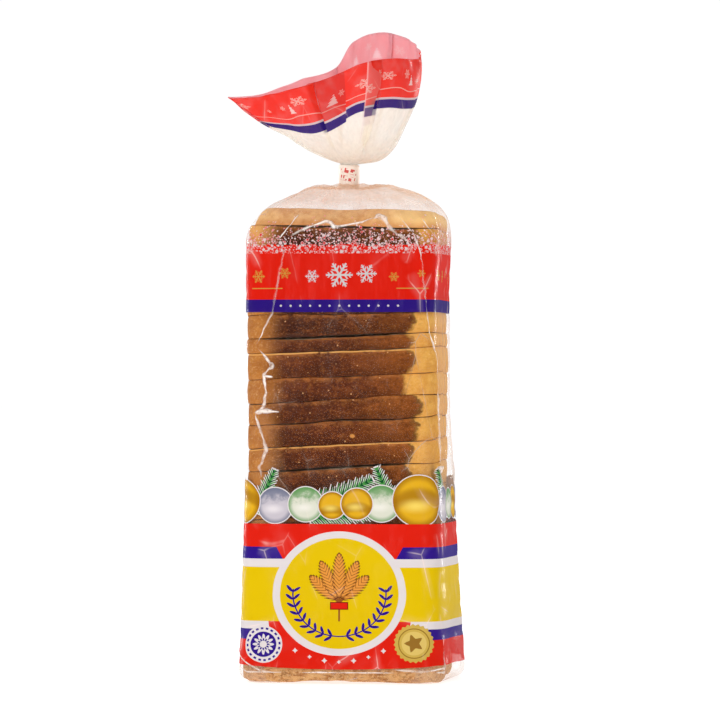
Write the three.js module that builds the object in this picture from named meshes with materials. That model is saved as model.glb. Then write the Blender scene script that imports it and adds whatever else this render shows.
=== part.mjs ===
// A sliced sandwich loaf in a clear film bag. It stands on one end of the loaf, with its top crust to
// the front. The film is gathered into a neck above the loaf, closed with a wrapped tape, and its
// open mouth flares out above the tape.
// Millimetres, +Z up, the front faces -Y, the origin is the middle of the flat base.
import * as THREE from "three";

// Driving dimensions
const sliceCount = 21;
const loafHeight = 233.5;
const bodyHalfWidth = 48.2;
const bodyHalfDepth = 48.2;
const bodySquareness = 8;
const sliceGrooveDepth = 0.9;
const sliceTilt = THREE.MathUtils.degToRad(3);

const baseEdgeRounding = 6;
const flareReach = 3.3;
const flareHeight = 75;
const gussetEarReach = 2.2;
const gussetEarHeight = 45;
const looseBelow = 4;
const looseBelowTop = [100, 135];
const looseAbove = 2.8;
const looseAboveBottom = [190, 216];

const shoulderStart = 217;
const shoulderTop = 244.3;
const shoulderBackLift = 0.6;
const shoulderBoxiness = 2.2;
const shoulderBoxinessToRight = 0.5;
const shoulderPleatShare = 0.4;
const collarRadius = 10;
const collarDipRadius = 7.5;
const neckRadius = 4.4;
const pleatCount = 10;
const pleatDepth = 1;

const tapeBottom = 245.7;
const tapeHeight = 10.5;
const tapeGap = 0.35;
const tapeThickness = 0.75;
const tapeTabLength = 8;
const tapeTabAngle = THREE.MathUtils.degToRad(75);

const tailStart = 256.6;
const tailSwell = 0.54;
const tailSwellToRight = 0.26;
const tailBulge = 0.1;
const tailWall = 1.4;
const tailFloorShare = 0.16;

// The cut mouth of the bag, anticlockwise from the right: x, y and z of its edge
const mouthPoints = [
  [36.5, -2, 310],
  [33.5, 12, 317],
  [26, 19, 321.5],
  [13, 23, 324],
  [0, 20, 319],
  [-9, 16, 305],
  [-25, 13, 300],
  [-43, 8, 293],
  [-62, 1, 289.5],
  [-45, -9, 290],
  [-24, -22, 293.5],
  [-5, -33, 298.5],
  [10, -36, 304.5],
  [25, -28, 307.5],
  [34.5, -14, 308],
];

// Numbers of facets
const ringSegments = 60;
const cornerCrowding = 0.35;
const shoulderRings = 8;
const tailRings = 9;
const funnelRings = 6;
const tapeSegments = 40;

// Round a ring, the points lie closer together at its four corners
function angleOf(index) {
  const turn = (index / ringSegments) * 2 * Math.PI;
  return turn + (cornerCrowding * Math.sin(4 * turn)) / 4;
}
const ring = (pointAt) => Array.from({ length: ringSegments }, (_, index) => pointAt(angleOf(index)));

const ringPoint = (angle, radius, height) =>
  new THREE.Vector3(radius * Math.cos(angle), radius * Math.sin(angle), height);

// Distance from the axis to a rounded rectangle, from a square at a high exponent to an ellipse at 2
function outlineRadius(angle, halfWidth, halfDepth, exponent) {
  const across = (Math.abs(Math.cos(angle)) / halfWidth) ** exponent;
  const along = (Math.abs(Math.sin(angle)) / halfDepth) ** exponent;
  return 1 / (across + along) ** (1 / exponent);
}

// The loose film stands off the loaf near the base, most of all at the folded side gussets, and there
// is more of it on the right
function bodyRadius(angle, height) {
  const flare = flareReach * Math.exp(-((height / flareHeight) ** 2));
  const ear = gussetEarReach * Math.cos(angle) ** 16 * Math.exp(-((height / gussetEarHeight) ** 2));
  const below = looseBelow * (1 - THREE.MathUtils.smoothstep(height, ...looseBelowTop));
  const above = looseAbove * THREE.MathUtils.smoothstep(height, ...looseAboveBottom);
  const loose = (below + above) * Math.max(Math.cos(angle), 0) ** 4;
  const tight = outlineRadius(angle, bodyHalfWidth + flare, bodyHalfDepth + flare / 2, bodySquareness);
  return tight + ear + loose;
}

// The slices lean to the left in the middle of the stack, and lie level at both ends
function leanAt(height) {
  return Math.tan(sliceTilt) * Math.sin(Math.PI * THREE.MathUtils.clamp(height / shoulderStart, 0, 1));
}

// Gathers in the film that run out from the neck, as a height above or below its mean surface
const pleatAt = (angle) => pleatDepth * Math.sin(pleatCount * angle);

function bodyRing(height, inset) {
  return ring((angle) => {
    const radius = bodyRadius(angle, height) - inset;
    return ringPoint(angle, radius, height + radius * Math.cos(angle) * leanAt(height));
  });
}

function baseRings() {
  const edge = (inset, height) => ring((angle) => ringPoint(angle, bodyRadius(angle, 0) - inset, height));
  return [edge(baseEdgeRounding, 0), edge(baseEdgeRounding / 3, baseEdgeRounding / 3)];
}

// One ring at the joint below each slice and one round its middle
function sliceRings() {
  const pitch = loafHeight / sliceCount;
  const rings = [];
  for (let slice = 0; (slice + 1) * pitch < shoulderStart; slice += 1) {
    if (slice > 0) rings.push(bodyRing(slice * pitch, sliceGrooveDepth));
    rings.push(bodyRing((slice + 0.5) * pitch, 0));
  }
  return rings;
}

// The film closes over the last slices in a low dome, boxier on the right than on the left and a little
// higher at the back
function shoulderRingSet() {
  return Array.from({ length: shoulderRings + 1 }, (_, index) => {
    const turn = ((index / shoulderRings) * Math.PI) / 2;
    return ring((angle) => {
      const power = 2 / (shoulderBoxiness + shoulderBoxinessToRight * Math.cos(angle));
      const out = Math.max(Math.cos(turn), 0) ** power;
      const up = Math.sin(turn) ** power;
      const radius = THREE.MathUtils.lerp(collarRadius, bodyRadius(angle, shoulderStart), out);
      const height = THREE.MathUtils.lerp(shoulderStart, shoulderTop + backLiftAt(angle), up);
      return ringPoint(angle, radius, height + pleatAt(angle) * shoulderPleatShare * up ** 4);
    });
  });
}

const backLiftAt = (angle) => (shoulderBackLift * (1 + Math.sin(angle))) / 2;

// Inside the dome the film dips towards the neck
function collarRings() {
  return [
    ring((angle) => ringPoint(angle, collarDipRadius, shoulderTop + pleatAt(angle) / 4)),
    ring((angle) => ringPoint(angle, neckRadius, shoulderTop)),
  ];
}

const mouth = new THREE.CatmullRomCurve3(
  mouthPoints.map(([x, y, z]) => new THREE.Vector3(x, y, z)),
  true,
  "centripetal",
);

// The tail from the neck, at share 0, to the mouth, at share 1: a goblet on the right, a wing on the left
function tailPoint(angle, share) {
  const edge = mouth.getPoint(angle / (2 * Math.PI));
  const swell = tailSwell - tailSwellToRight * Math.cos(angle);
  const bulge = tailBulge * Math.max(Math.cos(angle), 0) * Math.sin(Math.PI * Math.min(share, 1) ** 2);
  const spread = share ** swell * (1 + bulge);
  const gather = 1 + (pleatAt(angle) / neckRadius) * share ** 0.5 * (1 - share) ** 2;
  return new THREE.Vector3(
    THREE.MathUtils.lerp(neckRadius * Math.cos(angle), edge.x, spread) * gather,
    THREE.MathUtils.lerp(neckRadius * Math.sin(angle), edge.y, spread) * gather,
    THREE.MathUtils.lerp(tailStart, edge.z, share),
  );
}

// The same surface, one wall thickness further in
function funnelPoint(angle, share) {
  const step = 0.02;
  const around = tailPoint(angle + step, share).sub(tailPoint(angle - step, share));
  const upward = tailPoint(angle, share + step).sub(tailPoint(angle, share - step));
  const outward = around.cross(upward).normalize();
  return tailPoint(angle, share).addScaledVector(outward, -tailWall);
}

function tailRingSet() {
  return Array.from({ length: tailRings + 1 }, (_, index) =>
    ring((angle) => tailPoint(angle, (index / tailRings) ** 1.6)),
  );
}

function funnelRingSet() {
  return Array.from({ length: funnelRings + 1 }, (_, index) =>
    ring((angle) => funnelPoint(angle, THREE.MathUtils.lerp(1, tailFloorShare, index / funnelRings))),
  );
}

const centreOf = (points) =>
  points.reduce((sum, point) => sum.add(point), new THREE.Vector3()).divideScalar(points.length);

// A closed skin over a stack of rings, each anticlockwise from above, with a fan over each end
function skinOver(rings) {
  const geometry = new THREE.BufferGeometry();
  const points = [centreOf(rings[0]), ...rings.flat(), centreOf(rings.at(-1))];
  const faces = [];
  const at = (row, column) => 1 + row * ringSegments + (column % ringSegments);
  for (let column = 0; column < ringSegments; column += 1) {
    faces.push(0, at(0, column + 1), at(0, column));
    for (let row = 0; row + 1 < rings.length; row += 1) {
      faces.push(at(row, column), at(row, column + 1), at(row + 1, column + 1));
      faces.push(at(row, column), at(row + 1, column + 1), at(row + 1, column));
    }
    faces.push(points.length - 1, at(rings.length - 1, column), at(rings.length - 1, column + 1));
  }
  geometry.setFromPoints(points);
  geometry.setIndex(faces);
  geometry.computeVertexNormals();
  return geometry;
}

// The bag with the loaf in it is one solid, from the base up to the mouth and down into the open tail
function makeBag() {
  const rings = [
    ...baseRings(),
    ...sliceRings(),
    ...shoulderRingSet(),
    ...collarRings(),
    ...tailRingSet(),
    ...funnelRingSet(),
  ];
  const material = new THREE.MeshStandardMaterial({ color: 0xa9683c, roughness: 0.35, metalness: 0 });
  const mesh = new THREE.Mesh(skinOver(rings), material);
  mesh.name = "bag";
  return mesh;
}

// The tape goes once round the neck, and its two ends are pressed together into a tab at the back
function makeTape() {
  const inner = neckRadius + tapeGap;
  const outer = inner + tapeThickness;
  const halfTab = tapeThickness;
  const tabHalfAngle = Math.asin(halfTab / outer);
  const outline = new THREE.Shape();
  outline.absarc(0, 0, outer, tabHalfAngle, 2 * Math.PI - tabHalfAngle, false);
  outline.lineTo(outer + tapeTabLength, -halfTab);
  outline.lineTo(outer + tapeTabLength, halfTab);
  outline.closePath();
  const hole = new THREE.Path();
  hole.absarc(0, 0, inner, 0, 2 * Math.PI, true);
  outline.holes.push(hole);
  const geometry = new THREE.ExtrudeGeometry(outline, {
    depth: tapeHeight,
    bevelEnabled: false,
    curveSegments: tapeSegments,
  });
  const material = new THREE.MeshStandardMaterial({ color: 0xf1e6da, roughness: 0.5, metalness: 0 });
  const mesh = new THREE.Mesh(geometry, material);
  mesh.name = "neck_tape";
  mesh.position.z = tapeBottom;
  mesh.rotation.z = tapeTabAngle;
  return mesh;
}

const loafInBag = new THREE.Group();
loafInBag.add(makeBag(), makeTape());

export default loafInBag;
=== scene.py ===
import math

import bpy
import numpy as np
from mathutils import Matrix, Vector


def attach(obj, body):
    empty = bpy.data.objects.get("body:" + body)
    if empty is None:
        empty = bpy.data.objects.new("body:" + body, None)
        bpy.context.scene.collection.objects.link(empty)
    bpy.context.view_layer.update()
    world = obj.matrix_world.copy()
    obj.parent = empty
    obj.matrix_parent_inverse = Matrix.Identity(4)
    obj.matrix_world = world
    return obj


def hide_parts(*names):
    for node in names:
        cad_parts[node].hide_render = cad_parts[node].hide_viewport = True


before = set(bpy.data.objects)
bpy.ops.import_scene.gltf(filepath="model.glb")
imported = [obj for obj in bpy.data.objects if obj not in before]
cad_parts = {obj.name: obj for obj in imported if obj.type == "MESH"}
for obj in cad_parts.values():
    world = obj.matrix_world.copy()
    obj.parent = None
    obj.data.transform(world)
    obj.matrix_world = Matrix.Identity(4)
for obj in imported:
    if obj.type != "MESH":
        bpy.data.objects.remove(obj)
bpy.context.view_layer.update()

# A sliced loaf in a clear, printed film bag. Sizes are in millimetres until a mesh is made, with
# +Z up and the front facing -Y, as in the frame. Colours are red, green and blue up to 255.
MM = 0.001
PI = math.pi
FRONT = -PI / 2

# The body of the bag, with the same named sizes as the solid
BODY_HALF_WIDTH = 48.2
BODY_HALF_DEPTH = 48.2
BODY_SQUARENESS = 8
BASE_ROUNDING = 6
FLARE_REACH = 3.3
FLARE_HEIGHT = 75
EAR_REACH = 2.2
EAR_HEIGHT = 45
LOOSE_BELOW = 4
LOOSE_BELOW_TOP = (100, 135)
LOOSE_ABOVE = 2.8
LOOSE_ABOVE_BOTTOM = (190, 216)

SHOULDER_START = 217
SHOULDER_TOP = 244.3
SHOULDER_BACK_LIFT = 0.6
SHOULDER_BOXINESS = 2.2
SHOULDER_BOXINESS_TO_RIGHT = 0.5
COLLAR_RADIUS = 10
NECK_RADIUS = 4.4
PLEAT_HEIGHT = 0.45

TAPE_BOTTOM = 245.7
TAPE_HEIGHT = 10.5
TAPE_INNER = 4.75
TAPE_THICKNESS = 0.5
TAPE_HALF_GAP = TAPE_THICKNESS * 0.9
TAPE_TAB_LENGTH = 8.6
TAPE_TAB_ANGLE = math.radians(75)

TAIL_START = 256.6
TAIL_SWELL = 0.54
TAIL_SWELL_TO_RIGHT = 0.26
TAIL_BULGE = 0.1
FILM_THICKNESS = 0.25
MOUTH_POINTS = [
    (36.5, -2, 310), (33.5, 12, 317), (26, 19, 321.5), (13, 23, 324), (0, 20, 319),
    (-9, 16, 305), (-25, 13, 300), (-43, 8, 293), (-62, 1, 289.5), (-45, -9, 290),
    (-24, -22, 293.5), (-5, -33, 298.5), (10, -36, 304.5), (25, -28, 307.5), (34.5, -14, 308),
]
# Where the tail's film doubles back on itself: middle, width and overlap in degrees, and depth
TAIL_FOLDS = [
    (299, 42, 13, 1.0), (248, 30, 8.5, 0.8), (345, 22, 6, 0.8),
    (120, 36, 10, 1.0), (196, 22, 6, 0.7), (60, 30, 8, 0.9),
]

# Heights of the joints between the slices, on the axis, and how far the slices lean at a height
JOINTS = [
    0.6, 11.8, 23.6, 35.4, 47.2, 59.0, 70.8, 82.6, 94.4, 106.2, 117.3,
    129.0, 139.5, 150.8, 163.4, 170.7, 181.4, 192.1, 202.8, 213.5, 224.2, 232.8,
]
TOP_SLICE = len(JOINTS) - 2
LEAN_HEIGHTS = [0, 12, 30, 60, 100, 150, 171, 200, 224, 234]
LEAN_DEGREES = [0, 0.2, 1.2, 2.6, 3.4, 2.7, 2.0, 0.4, -1.4, -1.0]
LOAF_HALF = 46.6
LOAF_SQUARENESS = 9.5
# How far some joints gape at the front, the gap of all of them, and those with a painted highlight on the
# edge below
GAPS = {8: 1.0, 9: 0.9, 11: 0.5, 15: 1.1, 20: 0.8}
JOINT_GAP = 0.08
LIT_JOINTS = (10, 14)
# Levels from the middle of a slice, at 0, to its cut face, at 1, and how far in each ring lies
HALF_PROFILE = [
    (0, -0.22), (0.5, -0.14), (0.78, 0.0), (0.93, 0.12), (0.985, 0.28), (1, 0.6), (1, 2.4), (1, 6),
]
CUT_FACE_SIZES = (0.66, 0.4, 0.15)
SLICE_CLEARANCE = 0.35
CRUMB_ROWS_BELOW = 4
CRUMB_ROWS_ABOVE = 5
BLISTER_X = 6.2
BLISTER_HEIGHT = 121.6
SLICE_POINTS = 200

# Rows and columns of the film's grid
COLUMNS = 300
BODY_ROWS = 132
SHOULDER_ROWS = 34
TAIL_ROWS = 52
INNER_ROWS = 40
# Parts of the film, in the order of its materials
LOWER_PRINT, CLEAR, UPPER_PRINT, TAIL_PRINT, ORNAMENT_PRINT = range(5)
ORNAMENTS_FROM = 77
WINDOW_FROM = 110
UPPER_PRINT_FROM = 176
SHOULDER_CLEAR_FROM = 236

# The photograph's view: turn, distance, middle of the view on the object, and pixels on its front
VIEW_TURN = math.radians(5.5)
VIEW_DISTANCE = 2200
VIEW_ACROSS = 5.5
VIEW_HEIGHT = 158.8
FOCAL_LENGTH = 220
SENSOR_WIDTH = 36
MIDDLE_PIXEL = 360
PIXEL_SIZE = 0.489

# Pinched folds in the front film: widths in millimetres, and places in pixels of the photograph
CREASES = {
    "top_fold": (
        1.0, [(288, 237), (305, 228), (325, 221), (330, 222), (334, 227), (347, 225), (363, 222), (377, 217)]
    ),
    "top_peak": (1.9, [(374, 219), (380, 216), (386, 218), (390, 227), (398, 235), (410, 242)]),
    "top_left": (0.4, [(295, 213), (285, 232), (278, 240)]),
    "top_right": (0.4, [(422, 218), (430, 235), (438, 242)]),
    "left_fall": (0.9, [(285, 245), (278, 280), (272, 312), (262, 334), (256, 346)]),
    "left_high": (
        1.3, [(257, 347), (265, 357), (272, 366), (263, 375), (266, 385), (267, 393), (263, 407), (255, 413)]
    ),
    "left_low": (1.2, [(255, 413), (260, 430), (267, 450), (260, 468), (262, 478)]),
    "left_tongue_high": (1.3, [(262, 376), (273, 377)]),
    "left_tongue_low": (1.9, [(254, 413), (265, 411), (281, 412)]),
    "right_fall": (
        0.8, [(400, 215), (414, 236), (421, 262), (426, 312), (427, 330), (434, 358), (437, 387)]
    ),
    "right_low": (2.0, [(437, 387), (439, 417), (442, 438), (445, 463)]),
    # A short pale strip that is a painted glint
    "right_glint": (2.4, [(437, 470), (441, 465), (446, 468), (449, 474)]),
    "base_left": (1.0, [(243, 652), (250, 664), (262, 671), (285, 674)]),
    "base_left_low": (0.8, [(246, 668), (258, 677), (272, 681)]),
    "base_right": (1.0, [(459, 645), (454, 660), (444, 668), (420, 671), (392, 669)]),
    "base_right_low": (0.8, [(458, 668), (448, 677), (430, 680)]),
    "base_front": (0.6, [(300, 678), (330, 681), (362, 678), (395, 682)]),
}
# Place across, rise and how solid it is, for each point of the section of a fold line
FOLD_SECTION = ((-1, -0.12, 0), (-0.45, 0.34, 0.9), (0, 0.72, 1), (0.4, 0.36, 0.75), (1, -0.12, 0))
DULLED_ON_BAND = 0.68
CREASE_REACH = 51
RIDGE_REACH = 62
RIDGE_HEIGHT = 0.9

# Heights of the print on the body
PANEL_TOP = 78.6
BAND_BOTTOM = 182.3
BAND_STRIPE_TOP = 188.4
BAND_TOP = 212.6
FLAKES_LEVEL = 200.4
SNOW_BOTTOM = 211
SNOW_TOP = 230
# The tail's print is placed by its distance below the mouth, taken from this height
MOUTH_LEVEL = 1000
TAIL_RED_END = 19.4
TAIL_WHITE_END = 20.5
TAIL_BLUE_END = 25.2

RED = (222, 30, 12)
BAND_RED = (240, 32, 12)
TAIL_RED = (246, 44, 14)
BLUE = (46, 20, 132)
YELLOW = (228, 191, 0)
WHITE = (226, 217, 217)
GOLD = (224, 158, 66)
BROWN = (150, 84, 30)
PANEL_FILM = (236, 210, 190)

# Lower and upper edge of each stripe across the panel, and its ink
PANEL_STRIPES = [(57.4, 61.5, WHITE), (31.0, 57.4, YELLOW), (27.2, 31.0, WHITE), (22.0, 27.2, BLUE)]

# Place, radius and kind of each round ornament above the panel
ORNAMENTS = [
    (-82, 88.5, 8.3, "silver"), (-66.5, 88, 8.0, "green"), (-31.5, 87.6, 8.6, "silver"),
    (-50, 89.4, 10.6, "gold"), (-16.5, 88.2, 8.4, "green"), (-3.5, 87.6, 6.6, "gold"),
    (20.5, 88.6, 8.8, "green"), (8.6, 88.4, 7.6, "gold"), (57.5, 88, 8.6, "silver"),
    (38.4, 90, 12.4, "gold"), (82.5, 88.6, 8.0, "gold"), (70.5, 88.2, 7.4, "green"),
]
# Root, direction in degrees, length and width of each fir twig behind them
TWIGS = [
    (-13, 85, 28, 33, 8.2), (-14, 82, 2, 34, 6.2), (-41, 84, 66, 23, 6.4),
    (27, 84, 112, 24, 6.4), (-75, 84, 35, 27, 7.0), (62, 84, 122, 25, 7.0),
]
# Colour of each kind of ornament, of its rim and of its bright spot
ORNAMENT_TONES = {
    "gold": ((226, 172, 30), (156, 102, 10), (250, 222, 110)),
    "silver": ((200, 192, 200), (104, 110, 134), (240, 232, 234)),
    "green": ((220, 220, 202), (84, 146, 74), (244, 240, 230)),
}


# A smooth, repeatable random field over points in space, from -1 to 1
def field(points, scale, seed):
    size = 32
    lattice = np.random.RandomState(seed).rand(size, size, size)
    place = np.asarray(points, float) / scale
    cell = np.floor(place).astype(int)
    part = place - cell
    part = part * part * (3 - 2 * part)
    total = 0
    for corner in np.ndindex(2, 2, 2):
        weight = np.where(corner, part, 1 - part).prod(-1)
        x, y, z = np.moveaxis((cell + corner) % size, -1, 0)
        total = total + weight * lattice[x, y, z]
    return total * 2 - 1


def smooth(value, low, high):
    part = np.clip((value - low) / (high - low), 0, 1)
    return part * part * (3 - 2 * part)


def outline_radius(angle, half_width, half_depth, exponent):
    across = (np.abs(np.cos(angle)) / half_width) ** exponent
    along = (np.abs(np.sin(angle)) / half_depth) ** exponent
    return 1 / (across + along) ** (1 / exponent)


def body_radius(angle, height):
    flare = FLARE_REACH * np.exp(-((height / FLARE_HEIGHT) ** 2))
    ear = EAR_REACH * np.cos(angle) ** 16 * np.exp(-((height / EAR_HEIGHT) ** 2))
    below = LOOSE_BELOW * (1 - smooth(height, *LOOSE_BELOW_TOP))
    above = LOOSE_ABOVE * smooth(height, *LOOSE_ABOVE_BOTTOM)
    loose = (below + above) * np.maximum(np.cos(angle), 0) ** 4
    width, depth = BODY_HALF_WIDTH + flare, BODY_HALF_DEPTH + flare / 2
    return outline_radius(angle, width, depth, BODY_SQUARENESS) + ear + loose


def lean_slope(height):
    return np.tan(np.radians(np.interp(height, LEAN_HEIGHTS, LEAN_DEGREES)))


# Distance round the film from the middle of the front, against the angle round the axis
def measured_outline():
    angle = np.linspace(FRONT - PI, FRONT + PI, 4001)
    radius = outline_radius(angle, BODY_HALF_WIDTH, BODY_HALF_DEPTH, BODY_SQUARENESS)
    line = np.stack([radius * np.cos(angle), radius * np.sin(angle)], -1)
    round_it = np.concatenate([[0], np.cumsum(np.linalg.norm(np.diff(line, axis=0), axis=1))])
    return angle, round_it - round_it[-1] / 2, line


OUTLINE_ANGLE, OUTLINE_ROUND, OUTLINE_LINE = measured_outline()
GIRTH = OUTLINE_ROUND[-1] * 2


# Columns lie closer together at the front
def column_places():
    share = np.arange(COLUMNS) / COLUMNS - 0.5
    closer = 0.3
    return GIRTH * (share - closer * np.sin(2 * PI * share) / (2 * PI))


ROUND = column_places()
ANGLE = np.interp(ROUND, OUTLINE_ROUND, OUTLINE_ANGLE)
SIDEWAYS = np.abs(np.cos(ANGLE))


def at_angle(angle, radius, height):
    return np.stack(np.broadcast_arrays(radius * np.cos(angle), radius * np.sin(angle), height), -1)


# The film presses lightly into the joints between the slices
def joint_dip(angle, height):
    level = height - body_radius(angle, height) * np.cos(angle) * lean_slope(height)
    nearest = np.min(np.abs(level[..., None] - np.array(JOINTS[1:-1])), axis=-1)
    depth = (0.2 + 0.15 * np.abs(np.cos(angle)) ** 3) * np.exp(-((nearest / 1.8) ** 2))
    return depth * smooth(height, 8, 20)


def body_wrinkle(points, height):
    wide = 0.45 * field(points * (1, 1, 0.6), 26, 3)
    fine = 0.2 * field(points * (1, 1, 0.45), 8, 4)
    loose = 0.8 * smooth(-height, -70, -10) * field(points * (1, 1, 0.45), 10, 5)
    return wide + fine + loose + 0.5 * smooth(-height, -26, -8) * field(points, 5, 14)


def body_rows():
    inset = 0.15
    height = np.linspace(BASE_ROUNDING, SHOULDER_START, BODY_ROWS)[:, None]
    angle = ANGLE[None, :]
    radius = body_radius(angle, height) - joint_dip(angle, height)
    wrinkle = body_wrinkle(at_angle(angle, radius, height), height)
    return at_angle(angle, radius + wrinkle - inset, height)


# The film folded flat under the loaf, and its uneven rounded edge
def base_rows():
    rows = []
    rim = body_radius(ANGLE, 0.0)
    for share in (0.08, 0.2, 0.35, 0.5, 0.65, 0.8, 0.9):
        flat = at_angle(ANGLE, (rim - BASE_ROUNDING) * share, 0.0)
        flat[:, 2] = 0.35 + 0.3 * field(flat, 9, 12)
        rows.append(flat)
    for turn in np.linspace(0, 1, 7)[:-1]:
        inset = BASE_ROUNDING * (1 - math.sin(turn * PI / 2))
        height = BASE_ROUNDING * (1 - math.cos(turn * PI / 2))
        row = at_angle(ANGLE, body_radius(ANGLE, height) - inset, height)
        row += at_angle(ANGLE, body_wrinkle(row, np.full(COLUMNS, height)) * turn, 0.0)
        row[:, 2] += 0.3 + (0.9 + 0.9 * field(row, 15, 13)) * (1 - turn) * (turn > 0)
        rows.append(row)
    return np.array(rows)


def back_lift(angle):
    return SHOULDER_BACK_LIFT * (1 + np.sin(angle)) / 2


# Gathers that run out from the neck, in three sizes
def pleat(angle):
    return np.sin(10 * angle) * 0.75 + 0.4 * np.sin(17 * angle + 1) + 0.3 * np.sin(29 * angle + 2)


def shoulder_row(turn):
    power = 2 / (SHOULDER_BOXINESS + SHOULDER_BOXINESS_TO_RIGHT * np.cos(ANGLE))
    out = np.maximum(np.cos(turn), 0) ** power
    up = np.sin(turn) ** power
    radius = COLLAR_RADIUS + (body_radius(ANGLE, SHOULDER_START) - COLLAR_RADIUS) * out
    height = SHOULDER_START + (SHOULDER_TOP + back_lift(ANGLE) - SHOULDER_START) * up
    rise = 1.8 * np.exp(-(((radius - 20) / 6.5) ** 2))
    row = at_angle(ANGLE, radius, height + rise + pleat(ANGLE) * PLEAT_HEIGHT * up**2)
    slack = 0.8 * field(row, 13, 6) + 0.35 * field(row, 5, 7)
    return row + at_angle(ANGLE, slack * np.minimum(1, 3 * math.sin(turn)) * out, slack * up * 0.8)


# The film dips from the top of the shoulder into the neck
def collar_row(share):
    radius = COLLAR_RADIUS + (NECK_RADIUS - COLLAR_RADIUS) * share
    high = (back_lift(ANGLE) + 0.17) * (1 - smooth(share, 0, 0.4))
    height = SHOULDER_TOP + high + pleat(ANGLE) * PLEAT_HEIGHT * (1 - share)
    return at_angle(ANGLE, radius * (1 + 0.05 * pleat(ANGLE) * share), height)


def shoulder_rows():
    rows = [shoulder_row(turn) for turn in np.linspace(0, PI / 2, SHOULDER_ROWS)[1:]]
    blend = body_rows()[-1] - at_angle(ANGLE, body_radius(ANGLE, SHOULDER_START), SHOULDER_START)
    for index in range(10):
        rows[index] = rows[index] + blend * (1 - index / 10)
    return np.array(rows + [collar_row(share) for share in np.linspace(0, 1, 9)[1:]])


def neck_rows():
    radius = NECK_RADIUS * (1 - 0.04 * (pleat(ANGLE) + 1))
    return np.array([at_angle(ANGLE, radius, h) for h in np.linspace(SHOULDER_TOP + 0.6, TAIL_START, 5)])


# A closed curve through the mouth's points, with its knots spaced by the root of their distances
def mouth_at(angle):
    points = np.array(MOUTH_POINTS, float)
    count = len(points)
    place = np.mod(np.asarray(angle, float) / (2 * PI), 1) * count
    index = np.floor(place).astype(int)
    part = (place - index)[..., None]
    p0, p1, p2, p3 = (points[(index + shift) % count] for shift in (-1, 0, 1, 2))
    pairs = ((p0, p1), (p1, p2), (p2, p3))
    d0, d1, d2 = (np.linalg.norm(b - a, axis=-1, keepdims=True) ** 0.5 for a, b in pairs)
    t1 = ((p1 - p0) / d0 - (p2 - p0) / (d0 + d1) + (p2 - p1) / d1) * d1
    t2 = ((p2 - p1) / d1 - (p3 - p1) / (d1 + d2) + (p3 - p2) / d2) * d1
    square = (-3 * p1 + 3 * p2 - 2 * t1 - t2) * part**2
    return p1 + t1 * part + square + (2 * p1 - 2 * p2 + t1 + t2) * part**3


def tail_smooth(angle, share):
    edge = mouth_at(angle)
    swell = TAIL_SWELL - TAIL_SWELL_TO_RIGHT * np.cos(angle)
    bulge = TAIL_BULGE * np.maximum(np.cos(angle), 0) * np.sin(PI * np.minimum(share, 1) ** 2)
    spread = share**swell * (1 + bulge)
    x = NECK_RADIUS * np.cos(angle) + (edge[..., 0] - NECK_RADIUS * np.cos(angle)) * spread
    y = NECK_RADIUS * np.sin(angle) + (edge[..., 1] - NECK_RADIUS * np.sin(angle)) * spread
    z = TAIL_START + (edge[..., 2] - TAIL_START) * share
    return np.stack([x, y, z], -1)


# The tail's film, doubled at its folds, gathered at the neck and wavy at the cut edge
def tail_sheet(share, inset):
    share = share[:, None]
    angle = np.broadcast_to(np.mod(ANGLE, 2 * PI)[None, :], (share.shape[0], COLUMNS))
    shifted, depth = angle.copy(), np.zeros_like(angle)
    fade = smooth(share, 0.02, 0.25)
    for middle, width, overlap, fall in TAIL_FOLDS:
        start = math.radians(middle - width / 2)
        part = np.clip(np.mod(angle - start, 2 * PI) / math.radians(width), 0, 1)
        inside = (part > 0) & (part < 1)
        shifted = shifted + np.where(inside, math.radians(overlap) * np.sin(2 * PI * part) * fade, 0)
        back = smooth(part, 0.3, 0.7) * (1 - smooth(part, 0.72, 1))
        depth = depth + np.where(inside, fall * back * fade, 0)
    point = tail_smooth(shifted, share)
    step = 0.01
    around = tail_smooth(shifted + step, share) - tail_smooth(shifted - step, share)
    upward = tail_smooth(shifted, share + step) - tail_smooth(shifted, np.maximum(share - step, 1e-4))
    out = np.cross(around, upward)
    out /= np.linalg.norm(out, axis=-1, keepdims=True) + 1e-9
    gathers = pleat(angle) * 0.8 * share**0.5 * (1 - share) ** 1.5
    slack = 0.9 * field(point, 15, 8) * smooth(share, 0.1, 0.5)
    slack = slack + 0.35 * field(point, 6, 9) * smooth(share, 0, 0.3)
    edge_wave = 0.5 * np.sin(angle * 23 + 4 * np.sin(angle * 3)) * smooth(share, 0.8, 1)
    offset = gathers + slack * 0.8 + edge_wave - depth - 0.6 - inset
    return point + out * offset[..., None]


# Height of the tail's print, from the distance along the film down from the mouth
def tail_level(sheet):
    steps = np.linalg.norm(np.diff(sheet, axis=0), axis=-1)
    below = np.cumsum(steps[::-1], axis=0)[::-1]
    return MOUTH_LEVEL - np.concatenate([below, np.zeros((1, COLUMNS))])


# A place in the photograph, in pixels, as distance round the film and height on its front
def on_front(pixel):
    seen = (pixel[0] - MIDDLE_PIXEL) * PIXEL_SIZE + VIEW_ACROSS
    across = (seen + BODY_HALF_DEPTH * math.sin(VIEW_TURN)) / math.cos(VIEW_TURN)
    front = (OUTLINE_ANGLE > FRONT - PI / 2) & (OUTLINE_ANGLE < FRONT + PI / 2)
    x_line = np.maximum.accumulate(OUTLINE_LINE[front, 0])
    place = float(np.interp(across, x_line, OUTLINE_ROUND[front]))
    return np.clip(place, -CREASE_REACH, CREASE_REACH), VIEW_HEIGHT - (pixel[1] - MIDDLE_PIXEL) * PIXEL_SIZE


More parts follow.
